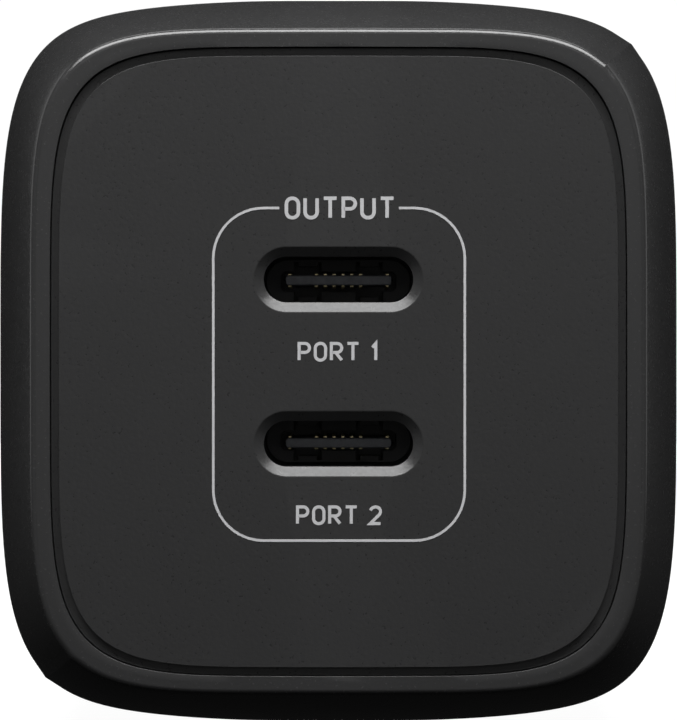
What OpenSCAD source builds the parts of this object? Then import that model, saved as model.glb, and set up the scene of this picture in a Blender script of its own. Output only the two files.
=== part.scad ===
// Wall charger with two USB-C sockets in its front and folding mains blades in its back.
// X is the width, +Y points into the wall, +Z is up.
// The origin is on the surface that the charger stands on, under the middle of its body.
// The blades are drawn folded. All sizes are in millimetres.

/* [Body] */
// Width of the sleeve at its widest section
body_w = 40.25; // [39.65:0.05:42]
// Height of the sleeve at its tallest section
body_h = 42.8; // [42.3:0.05:45]
// Depth from the front rim to the face that meets the wall
body_d = 40; // [40:0.5:48]
// Width across the front rim
rim_w = 34.2; // [33.8:0.1:34.6]
// Height across the front rim
rim_h = 37; // [36.6:0.1:37.4]
// Length of the front stretch that narrows towards the rim
taper_len = 16; // [12:0.5:18]
// Rounding of the front rim
rim_round = 0.25; // [0.2:0.05:0.5]
// Rounding of the rear edge
rear_round = 1.2; // [0.6:0.1:1.4]
// Squareness of the widest section's sides: 2 is an ellipse, larger is squarer
side_square = 9; // [7:0.5:10]
// Squareness of the widest section's top and bottom
top_square = 4.35; // [4.2:0.05:5]
// How strongly the top and bottom of the widest section are crowned
body_crown = 2.6; // [1.5:0.1:2.8]
// Squareness of the rim and the port panel
rim_square = 5.4; // [5:0.1:6]
// Squareness of the inside of the sleeve and the rear cover
cavity_square = 4.9; // [4.5:0.1:4.9]

/* [Port panel] */
// Width of the opening that the panel sits in
seat_w = 32.14; // [31.9:0.02:32.3]
// Height of the opening that the panel sits in
seat_h = 35.04; // [34.8:0.02:35.2]
// Width of the shallow groove around the panel
groove_w = 0.45; // [0.3:0.05:0.6]
// Depth of the shallow groove around the panel
groove_d = 0.35; // [0.2:0.05:0.5]
// How far the panel's face sits behind the rim
panel_inset = 0.1; // [0.05:0.05:0.1]
// Thickness of the panel
panel_t = 1.9; // [1.6:0.1:1.9]

/* [USB-C sockets] */
// Distance between the two sockets
port_pitch = 9.15; // [8.8:0.05:9.6]
// Width inside the socket's shell
port_w = 8.34; // [8.3:0.02:8.4]
// Height inside the socket's shell
port_h = 2.56; // [2.5:0.02:2.6]
// Width of the bevel around each slot in the panel
bevel_w = 0.53; // [0.3:0.05:0.6]
// Depth of that bevel
bevel_depth = 0.3; // [0.2:0.05:0.6]
// Depth of the socket from its mouth to its floor
port_depth = 6.2; // [6:0.1:6.4]

/* [Mains blades] */
// Distance between the two blades, centre to centre
blade_pitch = 12.7; // [12.6:0.05:12.8]
// Thickness of a blade
blade_t = 1.5; // [1.4:0.05:1.6]
// Width of a blade
blade_w = 6.35; // [6.2:0.05:6.4]
// Length of a blade beyond the wall face when it is out
blade_reach = 17.6; // [16:0.1:18.2]
// Diameter of the hole near a blade's tip
blade_hole_d = 3.2; // [3:0.1:3.3]
// Height of the hinge axis above the middle of the body
hinge_up = 9.5; // [9:0.1:9.8]
// Depth of the hinge axis behind the wall face
hinge_in = 3.7; // [3.7:0.05:3.8]
// Diameter of the barrel that carries the blades
barrel_d = 7.2; // [7:0.1:7.2]
// Diameter of the barrel's end pins
pin_d = 3; // [2.8:0.1:3]

/* [Circuit boards] */
// Thickness of the output board
output_board_t = 1.2; // [1:0.1:1.2]
// Thickness of the main board
main_board_t = 1.6; // [1.2:0.1:1.6]
// Diameter of a bulk capacitor
bulk_cap_d = 9; // [8:0.2:9.2]
// Length of a bulk capacitor
bulk_cap_len = 15.4; // [12:0.2:15.4]

/* [Hidden] */
$fn = 48;

clear = 0.05;       // running and assembly clearance
outline_count = 72; // corners of a squircle outline
y_front = -body_d / 2;
y_rear = body_d / 2;
mid_z = body_h / 2;
blade_x = blade_pitch / 2;

// Inside of the sleeve
cavity_w = body_w - 4.8;
cavity_h = body_h - 4.8;
cavity_y = y_front + 9;     // shoulder that the output board rests against
throat_w = seat_w + 0.66;
throat_h = seat_h + 0.56;
ledge_w = seat_w - 1.74;
ledge_h = seat_h - 1.84;
panel_y = y_front + panel_inset;
panel_back = panel_y + panel_t;
seat_y = panel_back + 0.1;
ledge_t = 1;
cover_t = 2.2;
cover_gap = 0.4;            // how far the cover's seat is wider than the cavity, each side
cover_seat_w = cavity_w + 2 * cover_gap;
cover_seat_h = cavity_h + 2 * cover_gap;

// Sockets
mouth_y = y_front + 1;
floor_y = mouth_y + port_depth;
shell_wall = 0.3;
tongue_w = 6;
tongue_t = 0.6;
tongue_len = 5;
well_w = 6.6;       // sunken opening in the floor that the tongue stands in
well_h = 1.12;
well_depth = 1.5;
contact_w = 0.25;
contact_t = 0.1;
contact_places = [-2.75, -1.25, -0.75, -0.25, 0.25, 0.75, 1.25, 2.75];
port_z = [mid_z + port_pitch / 2, mid_z - port_pitch / 2];

// Boards
output_y = cavity_y + 0.1;
output_back = output_y + output_board_t;
main_back = y_rear - 12;
main_y = main_back - main_board_t;
main_w = cavity_w - 2.6;
main_h = cavity_h - 2.6;

// Blade hinge
hinge_y = y_rear - hinge_in;
hinge_z = mid_z + hinge_up;
blade_len = blade_reach + hinge_in;
blade_tip_z = hinge_z - blade_len;
barrel_half = 9;
bore_d = barrel_d + 0.3;
nose_r = 4.4;
nose_half = 1.2;
slot_half = 1.15;
cheek_out = 12.4;
pin_out = 11.9;
block_y = y_rear - 8.8;     // inner face of the block that holds the hinge
channel_y = y_rear - 8.2;   // inner face of the blade channels
retainer_t = 1.6;
retainer_y = block_y - retainer_t;
screw_x = 14;
post_x = 11.5;
post_z = mid_z - 14.9;

// ---------- shared shapes ----------

function signed_power(v, p) = sign(v) * pow(abs(v), p);

// Outline between an ellipse and a rectangle. A flat stretch lies at the full width or height on each side.
function squircle(w, h, n) =
    let (flat = 2 * pow(cos(180 / outline_count), 2 / n))
    [
        for (i = [0:outline_count - 1])
            let (t = 360 * (i + 0.5) / outline_count)
            [w / flat * signed_power(cos(t), 2 / n), h / flat * signed_power(sin(t), 2 / n)]
    ];

// Quarter of a section's outline in its own half sizes, from the side (u = 0) to the top (u = 1).
// Its points close up towards the corner.
function quarter_point(u, side_n, top_n) =
    let (
        step = 1 - pow(1 - 2 * min(u, 1 - u), 1.5),
        z = step * pow(0.5, 1 / top_n),
        x = step * pow(0.5, 1 / side_n)
    )
    u < 0.5 ? [pow(1 - pow(z, top_n), 1 / side_n), z] : [x, pow(1 - pow(x, side_n), 1 / top_n)];

// Outline whose top and bottom are flat in the middle and drawn in by crown towards the corners.
function crowned_squircle(w, h, side_n, top_n, crown) =
    let (
        quarter = outline_count / 4,
        flat = quarter_point(1 - 1 / quarter, side_n, top_n)[0]
    )
    [
        for (i = [0:outline_count - 1])
            let (
                turn = floor(i / quarter),
                k = i % quarter,
                u = (turn % 2 == 0 ? k : quarter - k) / quarter,
                p = quarter_point(u, side_n, top_n),
                half_h = h / 2 - crown * pow(max(0, p[0] - flat), 2),
                z = u > 1 - 1.5 / quarter ? h / 2 : half_h * p[1]
            )
            [(turn == 0 || turn == 3 ? 1 : -1) * w / 2 * p[0], (turn < 2 ? 1 : -1) * z]
    ];

// Outline with two straight sides and two half-round ends.
function stadium(w, h, steps = 10) = [
    for (side = [1, -1], i = [0:steps])
        let (t = 180 * i / steps - 90)
        [side * ((w - h) / 2 + h / 2 * cos(t)), side * h / 2 * sin(t)]
];

function raised(points, z) = [for (p = points) [p[0], p[1] + z]];

// Extrudes a drawing of X and Z from y0 to y1.
module along_y(y0, y1) {
    translate([0, y1, 0])
        rotate([90, 0, 0])
            linear_extrude(y1 - y0)
                children();
}

// Extrudes a drawing of Y and Z from x0 to x1.
module along_x(x0, x1) {
    translate([x0, 0, 0])
        rotate([90, 0, 90])
            linear_extrude(x1 - x0)
                children();
}

// Box between two corners.
module block(low, high) {
    translate(low)
        cube(high - low);
}

// Cylinder with its axis along X.
module rod_x(x0, x1, d, y, z) {
    translate([x0, y, z])
        rotate([0, 90, 0])
            cylinder(h = x1 - x0, d = d);
}

// Cylinder with its axis along Y.
module rod_y(y0, y1, d, x, z) {
    translate([x, y1, z])
        rotate([90, 0, 0])
            cylinder(h = y1 - y0, d = d);
}

// Squircle prism around the middle of the body.
module squircle_prism(y0, y1, w, h, n) {
    along_y(y0, y1)
        translate([0, mid_z])
            polygon(squircle(w, h, n));
}

module squircle_ring(y0, y1, w, h, n, wall) {
    difference() {
        squircle_prism(y0, y1, w, h, n);
        squircle_prism(y0 - 1, y1 + 1, w - 2 * wall, h - 2 * wall, n);
    }
}

// Skin over a row of outlines. Each ring is [y, points of X and Z].
module loft_y(rings) {
    count = len(rings[0][1]);
    last = len(rings) - 1;
    polyhedron(
        points = [for (ring = rings, p = ring[1]) [p[0], ring[0], p[1]]],
        faces = concat(
            [[for (i = [count - 1:-1:0]) i]],
            [[for (i = [0:count - 1]) last * count + i]],
            [for (k = [0:last - 1], i = [0:count - 1])
                let (j = (i + 1) % count, a = k * count, b = a + count) [a + i, a + j, b + j]],
            [for (k = [0:last - 1], i = [0:count - 1])
                let (j = (i + 1) % count, a = k * count, b = a + count) [a + i, b + j, b + i]]
        )
    );
}

// ---------- casing ----------

// Depths of the sleeve's sections: the rounded rim, the taper and the rounded rear edge.
rim_steps = [for (a = [0, 30, 60, 90]) rim_round * (1 - cos(a))];
taper_steps = [for (k = [1:7]) rim_round + (taper_len - rim_round) * k / 7];
rear_steps = [for (a = [0, 30, 60, 90]) body_d - rear_round * (1 - sin(a))];
section_depths = concat(rim_steps, taper_steps, rear_steps);

// How far a section at depth t is drawn in from the widest one, as a share of the rim's.
function taper_share(t) = t < taper_len ? pow((taper_len - t) / taper_len, 2) : 0;

function rim_inset(t) = t < rim_round ? rim_round - sqrt(rim_round ^ 2 - (rim_round - t) ^ 2) : 0;

function rear_inset(t) =
    let (past = t - (body_d - rear_round))
    past > 0 ? rear_round - sqrt(max(0, rear_round ^ 2 - past ^ 2)) : 0;

function section(t) =
    let (
        share = taper_share(t),
        inset = 2 * (rim_inset(t) + rear_inset(t)),
        w = body_w - (body_w - rim_w) * share - inset,
        h = body_h - (body_h - rim_h) * share - inset
    )
    crowned_squircle(w, h, side_square + (rim_square - side_square) * share,
        top_square + (rim_square - top_square) * share, body_crown * (1 - share));

module outer_sleeve() {
    color([0.1, 0.1, 0.11])
        difference() {
            loft_y([for (t = section_depths) [y_front + t, raised(section(t), mid_z)]]);
            squircle_prism(y_front - 1, seat_y, seat_w, seat_h, rim_square);
            squircle_prism(seat_y - 0.01, seat_y + ledge_t + 0.01, ledge_w, ledge_h, rim_square);
            squircle_prism(seat_y + ledge_t, cavity_y + 0.01, throat_w, throat_h, rim_square);
            squircle_prism(cavity_y, y_rear + 1, cavity_w, cavity_h, cavity_square);
            squircle_prism(y_rear - cover_t, y_rear + 1, cover_seat_w, cover_seat_h, cavity_square);
        }
}

// Slot that a plug goes through, with its bevel and the pocket behind it for the shell's front end.
module port_cut(z) {
    pocket_w = port_w + 2 * (shell_wall + clear);
    pocket_h = port_h + 2 * (shell_wall + clear);
    along_y(y_front - 1, panel_back + 3)
        polygon(raised(stadium(port_w, port_h), z));
    loft_y([
        [panel_y - 0.02, raised(stadium(port_w + 2 * bevel_w, port_h + 2 * bevel_w), z)],
        [panel_y + bevel_depth, raised(stadium(port_w, port_h), z)]
    ]);
    along_y(mouth_y - clear, panel_back + 3)
        polygon(raised(stadium(pocket_w, pocket_h), z));
}

// Snap hook that grips behind the sleeve's ledge, drawn on the +X side.
module panel_hook(reach) {
    grip_y = seat_y + ledge_t + clear;
    translate([0, 0, -3])
        linear_extrude(6)
            polygon([
                [reach - 1.2, panel_back - 0.01], [reach, panel_back - 0.01],
                [reach, grip_y], [reach + 0.7, grip_y], [reach + 0.7, grip_y + 0.35],
                [reach, grip_y + 1.25], [reach - 1.2, grip_y + 1.25]
            ]);
}

module front_panel() {
    collar_w = port_w + 3.4;
    collar_h = port_h + 3.4;
    color([0.13, 0.13, 0.135])
        difference() {
            union() {
                squircle_prism(panel_y, panel_y + groove_d + 0.01,
                    seat_w - 0.1 - 2 * groove_w, seat_h - 0.1 - 2 * groove_w, rim_square);
                squircle_prism(panel_y + groove_d, panel_back, seat_w - 0.1, seat_h - 0.1, rim_square);
                for (z = port_z)
                    along_y(panel_back - 0.01, panel_back + 1.6)
                        polygon(raised(stadium(collar_w, collar_h), z));
                for (side = [0, 180])
                    translate([0, 0, mid_z]) {
                        rotate([0, side, 0])
                            panel_hook(ledge_w / 2 - 0.1);
                        rotate([0, side + 90, 0])
                            panel_hook(ledge_h / 2 - 0.1);
                    }
            }
            for (z = port_z)
                port_cut(z);
        }
}

// Room for the barrel, the blades and their noses inside the rear cover.
module hinge_cuts() {
    rod_x(-barrel_half - 0.2, barrel_half + 0.2, bore_d, hinge_y, hinge_z);
    block([-barrel_half - 0.2, hinge_y, hinge_z - 2.4], [barrel_half + 0.2, y_rear + 1, hinge_z + 2.4]);
    block([-barrel_half - 0.2, block_y - 1, hinge_z - bore_d / 2],
        [barrel_half + 0.2, hinge_y, hinge_z + 4.7]);
    for (side = [-1, 1]) {
        x = side * blade_x;
        block([x - slot_half, hinge_y - 3.4, blade_tip_z - 0.5], [x + slot_half, y_rear + 1, hinge_z + 3.4]);
        block([x - slot_half, hinge_y - 1, hinge_z], [x + slot_half, y_rear - cover_t, hinge_z + 4.7]);
        rod_x(side > 0 ? barrel_half : -pin_out - 0.2, side > 0 ? pin_out + 0.2 : -barrel_half,
            pin_d + 2 * clear, hinge_y, hinge_z);
        low_x = side > 0 ? barrel_half : -pin_out - 0.2;
        block([low_x, block_y - 1, hinge_z - pin_d / 2 - clear],
            [low_x + pin_out + 0.2 - barrel_half, hinge_y, hinge_z + pin_d / 2 + clear]);
    }
}

// Shallow dish between the slots, where a fingernail reaches the blades' tips.
module finger_dish() {
    translate([0, y_rear + 6.5, blade_tip_z + 4.5])
        rotate([0, 90, 0])
            cylinder(h = 2 * (blade_x - slot_half + 0.2), d = 19, center = true);
}

module rear_cover() {
    channel_half = slot_half + 1.1;
    color([0.12, 0.12, 0.125])
        difference() {
            union() {
                squircle_prism(y_rear - cover_t, y_rear,
                    cover_seat_w - 0.1, cover_seat_h - 0.1, cavity_square);
                squircle_ring(y_rear - 5, y_rear - cover_t + 0.01,
                    cavity_w - 0.1, cavity_h - 0.1, cavity_square, 1.2);
                block([-cheek_out, block_y, hinge_z - 5], [cheek_out, y_rear - 1, hinge_z + 5.6]);
                for (side = [-1, 1]) {
                    x = side * blade_x;
                    block([x - channel_half, channel_y, blade_tip_z - 1.6],
                        [x + channel_half, y_rear - 1, hinge_z - 4]);
                    rod_y(block_y, y_rear - 1, 4.6, side * screw_x, hinge_z);
                    rod_y(main_back, y_rear - 1, 4.2, side * post_x, post_z);
                }
                block([-blade_x, y_rear - 5, blade_tip_z - 1.2], [blade_x, y_rear - 1, blade_tip_z + 11]);
            }
            hinge_cuts();
            finger_dish();
            for (side = [-1, 1]) {
                rod_y(block_y - 1, y_rear - 3.4, 1.6, side * screw_x, hinge_z);
                rod_y(main_back - 1, y_rear - 3.4, 1.6, side * post_x, post_z);
            }
        }
}

// Bracket that closes the hinge from inside. Its fingers fill the open side of each pin's seat.
module blade_retainer() {
    color([0.85, 0.85, 0.82])
        difference() {
            union() {
                along_y(retainer_y, block_y)
                    translate([0, hinge_z])
                        polygon([
                            [-15.9, -4.4], [15.9, -4.4], [15.9, 2.6],
                            [13.9, 4.6], [-13.9, 4.6], [-15.9, 2.6]
                        ]);
                for (side = [-1, 1])
                    block(
                        [side > 0 ? barrel_half + 0.4 : -pin_out, block_y - 0.01, hinge_z - pin_d / 2 + 0.1],
                        [side > 0 ? pin_out : -barrel_half - 0.4, hinge_y - 0.6, hinge_z + pin_d / 2 - 0.1]);
                for (side = [-1, 1])
                    block([side * 11 - 1.5, main_back, hinge_z + 2.6],
                        [side * 11 + 1.5, block_y - 0.1, hinge_z + 4.6]);
            }
            rod_x(-pin_out - 1, pin_out + 1, pin_d + 2 * clear, hinge_y, hinge_z);
            for (side = [-1, 1]) {
                x = side * blade_x;
                block([x - 1.4, retainer_y - 1, hinge_z - 3.6], [x + 1.4, block_y + 1, hinge_z + 3.4]);
                rod_y(retainer_y - 1, block_y + 1, 2.2, side * screw_x, hinge_z);
            }
        }
}

// Pan-head screw with a cross recess. Its shank runs along +Y from the underside of the head.
module screw(x, head_y, z, shank) {
    difference() {
        union() {
            rod_y(head_y - 1.2, head_y, 3.6, x, z);
            rod_y(head_y - 0.01, head_y + shank, 1.58, x, z);
        }
        for (turn = [0, 90])
            translate([x, head_y - 1.2, z])
                rotate([0, turn, 0])
                    cube([2, 1, 0.45], center = true);
    }
}

module retainer_screws() {
    color("silver")
        for (side = [-1, 1])
            screw(side * screw_x, retainer_y, hinge_z, 5.4);
}

module board_screws() {
    color("silver")
        for (side = [-1, 1])
            screw(side * post_x, main_y, post_z, 6);
}

// ---------- folding blades ----------

// A blade's side view about the hinge axis, pointing down, with its rounded contact nose on top.
module blade_profile() {
    half = blade_w / 2;
    polygon([
        [-half, 0.6], [-half, -blade_len + 1.1], [-half + 1.1, -blade_len],
        [half - 1.1, -blade_len], [half, -blade_len + 1.1], [half, 0.6],
        [nose_half, 2.4],
        for (k = [0:6])
            let (a = asin(nose_half / nose_r) * (1 - k / 3))
            [nose_r * sin(a), nose_r * cos(a)],
        [-nose_half, 2.4]
    ]);
}

module blade(x) {
    hole_z = hinge_z - hinge_in - 11.9;
    color("gold")
        difference() {
            along_x(x - blade_t / 2, x + blade_t / 2)
                translate([hinge_y, hinge_z])
                    blade_profile();
            rod_x(x - blade_t, x + blade_t, blade_hole_d, hinge_y, hole_z);
        }
}

module blade_carrier() {
    color([0.16, 0.16, 0.165])
        difference() {
            union() {
                rod_x(-barrel_half, barrel_half, barrel_d, hinge_y, hinge_z);
                rod_x(-pin_out, pin_out, pin_d, hinge_y, hinge_z);
            }
            for (x = [-blade_x, blade_x])
                along_x(x - blade_t / 2, x + blade_t / 2)
                    translate([hinge_y, hinge_z])
                        blade_profile();
        }
}

// Leaf that a blade's nose rubs on once the blade is out. Its foot is soldered to the main board.
module contact_spring(x) {
    leaf_t = 0.3;
    crest = hinge_y - nose_r - clear - leaf_t;
    path = [
        [main_back, hinge_z - 7.4], [main_back, hinge_z - 3.6], [main_back + 2.7, hinge_z - 2],
        [crest, hinge_z - 0.5], [crest, hinge_z + 0.5],
        [crest - 0.5, hinge_z + 1.6], [crest - 1.2, hinge_z + 2.4]
    ];
    back = [for (i = [len(path) - 1:-1:0]) [path[i][0] + leaf_t, path[i][1] + (i == 1 ? -0.15 : 0)]];
    color("goldenrod")
        along_x(x - 1, x + 1)
            polygon(concat(path, back));
}

// ---------- USB-C sockets ----------

module port_shell(z) {
    shell_end = output_y;
    color([0.2, 0.2, 0.2]) {
        difference() {
            along_y(mouth_y, shell_end)
                polygon(raised(stadium(port_w + 2 * shell_wall, port_h + 2 * shell_wall), z));
            along_y(mouth_y - 1, shell_end + 1)
                polygon(raised(stadium(port_w, port_h), z));
        }
        // Legs that are soldered into the output board
        for (sx = [-1, 1], sz = [-1, 1])
            block([sx * 2.6 - 0.5, shell_end - 1, z + sz * (port_h / 2 + shell_wall / 2) - shell_wall / 2],
                [sx * 2.6 + 0.5, output_back + 0.5, z + sz * (port_h / 2 + shell_wall / 2) + shell_wall / 2]);
    }
}

module contact_bar(x, z, sz, y0, y1, extra = 0) {
    low = z + sz * (tongue_t / 2 + contact_t / 2) - contact_t / 2;
    block([x - contact_w / 2 - extra, y0, low - extra],
        [x + contact_w / 2 + extra, y1, low + contact_t + extra]);
}

module port_insulator(z) {
    tip_y = floor_y - tongue_len;
    color([0.07, 0.07, 0.07])
        difference() {
            union() {
                difference() {
                    along_y(floor_y, output_y)
                        polygon(raised(stadium(port_w - 0.04, port_h - 0.04), z));
                    block([-well_w / 2, floor_y - 1, z - well_h / 2],
                        [well_w / 2, floor_y + well_depth, z + well_h / 2]);
                }
                along_x(-tongue_w / 2, tongue_w / 2)
                    polygon([
                        [floor_y + well_depth + 0.01, z - tongue_t / 2],
                        [floor_y + well_depth + 0.01, z + tongue_t / 2],
                        [tip_y + 0.4, z + tongue_t / 2], [tip_y, z + 0.22],
                        [tip_y, z - 0.22], [tip_y + 0.4, z - tongue_t / 2]
                    ]);
            }
            for (x = contact_places, sz = [-1, 1])
                contact_bar(x, z, sz, tip_y, output_y + 1, 0.01);
            block([-3.12, tip_y + 0.6, z - 0.085], [3.12, output_y + 1, z + 0.085]);
            // Grooves that divide the floor's rim
            for (x = [-2.45, -1.1, 1.1, 2.45], sz = [-1, 1])
                block([x - 0.1, floor_y - 1, z + sz * 0.95 - 0.36],
                    [x + 0.1, floor_y + 0.3, z + sz * 0.95 + 0.36]);
        }
}

module port_mid_plate(z) {
    tip_y = floor_y - tongue_len;
    color("silver")
        block([-3.1, tip_y + 0.62, z - 0.075], [3.1, output_y, z + 0.075]);
}

module port_contacts(z) {
    tip_y = floor_y - tongue_len;
    color("gold")
        for (x = contact_places, sz = [-1, 1])
            contact_bar(x, z, sz, tip_y + 0.6, output_y);
}

// ---------- circuit boards ----------

link_places = [for (k = [0:3]) [2.8 * k - 1, mid_z - main_h / 2 + 1.9]];

module output_board() {
    color([0.05, 0.25, 0.12])
        difference() {
            squircle_prism(output_y, output_back, cavity_w - 1.2, cavity_h - 1.2, cavity_square);
            for (p = link_places)
                rod_y(output_y - 1, output_back + 1, 1.1, p[0], p[1]);
            for (z = port_z, sx = [-1, 1], sz = [-1, 1])
                block([sx * 2.6 - 0.6, output_y - 1, z + sz * (port_h / 2 + shell_wall / 2) - 0.25],
                    [sx * 2.6 + 0.6, output_back + 1, z + sz * (port_h / 2 + shell_wall / 2) + 0.25]);
        }
}

module main_board() {
    color([0.05, 0.25, 0.12])
        difference() {
            squircle_prism(main_y, main_back, main_w, main_h, cavity_square);
            for (p = link_places)
                rod_y(main_y - 1, main_back + 1, 1.1, p[0], p[1]);
            for (side = [-1, 1])
                rod_y(main_y - 1, main_back + 1, 2.2, side * post_x, post_z);
        }
}

module board_link_pins() {
    color("gold")
        for (p = link_places)
            rod_y(output_y - 0.8, main_back + 0.8, 1, p[0], p[1]);
}

module heat_spreader() {
    color("lightgray")
        squircle_ring(output_back + 0.1, y_rear - 5.4, cavity_w - 0.3, cavity_h - 0.3, cavity_square, 0.4);
}

module insulating_wrap() {
    color([0.9, 0.75, 0.3])
        squircle_ring(output_back + 0.1, y_rear - 5.4, cavity_w - 1.2, cavity_h - 1.2, cavity_square, 0.25);
}

// ---------- parts on the main board ----------

core_w = 17;
core_h = 16;
core_d = 13.4;
core_x = 6.5;
core_z = mid_z - 4.7;
core_leg = 6.4;
window_in = 2.6;    // thickness of the core's outer legs

// One half of the core: an E shape whose round middle leg carries the winding.
module core_half(y0, y1, back_y0, back_y1) {
    block([core_x - core_w / 2, back_y0, core_z - core_h / 2],
        [core_x + core_w / 2, back_y1, core_z + core_h / 2]);
    for (side = [-1, 1])
        block([core_x + side * (core_w / 2 - window_in / 2) - window_in / 2, y0, core_z - core_h / 2],
            [core_x + side * (core_w / 2 - window_in / 2) + window_in / 2, y1, core_z + core_h / 2]);
    rod_y(y0, y1, core_leg, core_x, core_z);
}

core_y0 = main_y - core_d;
core_mid = main_y - core_d / 2;

module transformer_core_front() {
    color([0.25, 0.25, 0.27])
        core_half(core_y0, core_mid - 0.05, core_y0, core_y0 + 2.4);
}

module transformer_core_rear() {
    color([0.25, 0.25, 0.27])
        core_half(core_mid, main_y - 0.4, main_y - 2.8, main_y - 0.4);
}

module transformer_bobbin() {
    y0 = core_y0 + 2.5;
    y1 = main_y - 2.9;
    color([0.1, 0.1, 0.1])
        difference() {
            union() {
                rod_y(y0, y1, core_leg + 1.4, core_x, core_z);
                rod_y(y0, y0 + 0.7, 11.4, core_x, core_z);
                rod_y(y1 - 0.7, y1, 11.4, core_x, core_z);
            }
            rod_y(y0 - 1, y1 + 1, core_leg + 0.2, core_x, core_z);
        }
}

module transformer_winding() {
    y0 = core_y0 + 3.3;
    y1 = main_y - 3.7;
    color([0.95, 0.8, 0.2])
        difference() {
            rod_y(y0, y1, 11, core_x, core_z);
            rod_y(y0 - 1, y1 + 1, core_leg + 1.5, core_x, core_z);
        }
}

bulk_x = -11.2;
bulk_z = mid_z + 1.2;       // middle of the row of three
bulk_pitch = 9.3;
bung_t = 1.2;

// Aluminium can with a rolled groove near its base.
module bulk_capacitor(k) {
    z = bulk_z + bulk_pitch * (k - 2);
    color([0.1, 0.12, 0.3])
        difference() {
            rod_y(main_y - bulk_cap_len, main_y - bung_t, bulk_cap_d, bulk_x, z);
            difference() {
                rod_y(main_y - bung_t - 1.6, main_y - bung_t - 1, bulk_cap_d + 1, bulk_x, z);
                rod_y(main_y - bung_t - 2, main_y - bung_t, bulk_cap_d - 0.6, bulk_x, z);
            }
        }
}

module bulk_capacitor_bungs() {
    color([0.05, 0.05, 0.05])
        for (k = [1:3])
            rod_y(main_y - bung_t, main_y, bulk_cap_d - 1, bulk_x, bulk_z + bulk_pitch * (k - 2));
}

choke_x = 8.8;
choke_z = mid_z + 9.4;
choke_y = main_y - 2.9;

module choke_core() {
    color([0.2, 0.35, 0.2])
        difference() {
            rod_y(choke_y - 2, choke_y + 2, 9, choke_x, choke_z);
            rod_y(choke_y - 3, choke_y + 3, 5, choke_x, choke_z);
        }
}

// Turns of wire around the toroid, each a closed square loop.
module choke_winding() {
    color([0.72, 0.35, 0.12])
        for (turn = [-66:22:66], half = [0, 180])
            translate([choke_x, choke_y, choke_z])
                rotate([0, turn + half, 0])
                    difference() {
                        block([1.75, -2.75, -0.35], [5.2, 2.75, 0.35]);
                        block([2.45, -2.05, -1], [4.55, 2.05, 1]);
                    }
}

module suppression_capacitor() {
    color([0.85, 0.7, 0.1])
        block([-4.6, main_y - 10, mid_z + 3.3], [1.6, main_y, mid_z + 13.2]);
}

module safety_capacitor() {
    color([0.15, 0.35, 0.7])
        rod_x(-5.9, -2.9, 7, main_y - 3.6, mid_z - 7.2);
}

fuse_y = main_y - 1.95;
fuse_z = mid_z + 15.3;

module fuse() {
    color([0.8, 0.78, 0.7])
        rod_x(-3, 3, 3.4, fuse_y, fuse_z);
}

module fuse_caps() {
    color("silver")
        for (side = [-1, 1])
            difference() {
                rod_x(side > 0 ? 2.4 : -4.4, side > 0 ? 4.4 : -2.4, 3.8, fuse_y, fuse_z);
                rod_x(side > 0 ? 1 : -3, side > 0 ? 3 : -1, 3.4, fuse_y, fuse_z);
            }
}

// Chip body with leads along its two long sides.
module chip(low, high, leads) {
    block(low, high);
    pitch = (high[2] - low[2]) / leads;
    for (k = [0:leads - 1])
        block([low[0] - 0.7, low[1], low[2] + pitch * (k + 0.5) - 0.2],
            [high[0] + 0.7, low[1] + 0.25, low[2] + pitch * (k + 0.5) + 0.2]);
}

module bridge_rectifier() {
    color([0.12, 0.12, 0.12])
        chip([-3, main_back, mid_z - 13], [3, main_back + 1.4, mid_z - 7], 2);
}

module power_switch() {
    color([0.12, 0.12, 0.12])
        block([-12, main_back, mid_z - 8], [-6, main_back + 0.9, mid_z - 1]);
}

module thermal_pad() {
    color([0.6, 0.65, 0.75])
        block([-12.5, main_back + 0.9, mid_z - 8.5], [-5.5, main_back + 1.4, mid_z - 0.5]);
}

module switch_heatsink() {
    color("lightgray")
        block([-13.5, main_back + 1.4, mid_z - 9.5], [-4.5, main_back + 2.4, mid_z + 0.5]);
}

module optocoupler() {
    color([0.9, 0.9, 0.88])
        block([-6, main_y - 2.2, mid_z - 2.6], [-3, main_y, mid_z + 2]);
}

module primary_controller() {
    color([0.12, 0.12, 0.12])
        chip([5, main_back, mid_z - 4], [9, main_back + 1.4, mid_z + 1], 4);
}

// ---------- parts on the output board ----------

module output_rectifier() {
    color([0.12, 0.12, 0.12])
        block([4, output_back, mid_z - 12], [9, output_back + 1, mid_z - 6]);
}

module output_inductor(x) {
    inductor_w = 6.6;
    z = mid_z + 9.6;
    color([0.3, 0.3, 0.32])
        difference() {
            block([x - inductor_w / 2, output_back, z - inductor_w / 2],
                [x + inductor_w / 2, output_back + 4.6, z + inductor_w / 2]);
            for (sx = [-1, 1], sz = [-1, 1])
                translate([x + sx * inductor_w / 2, output_back + 2.3, z + sz * inductor_w / 2])
                    rotate([0, 45, 0])
                        cube([1.2, 6, 1.2], center = true);
        }
}

module output_capacitors() {
    color([0.75, 0.75, 0.78])
        for (sx = [-1, 1], sz = [-1, 1])
            rod_y(output_y - 5.6, output_y, 6.3, sx * 9.6, mid_z + sz * 9);
}

module protocol_chips() {
    color([0.12, 0.12, 0.12])
        for (sx = [-1, 1])
            block([sx * 9 - 2, output_y - 0.8, mid_z - 2], [sx * 9 + 2, output_y, mid_z + 2]);
}

// ---------- what is drawn ----------

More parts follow.
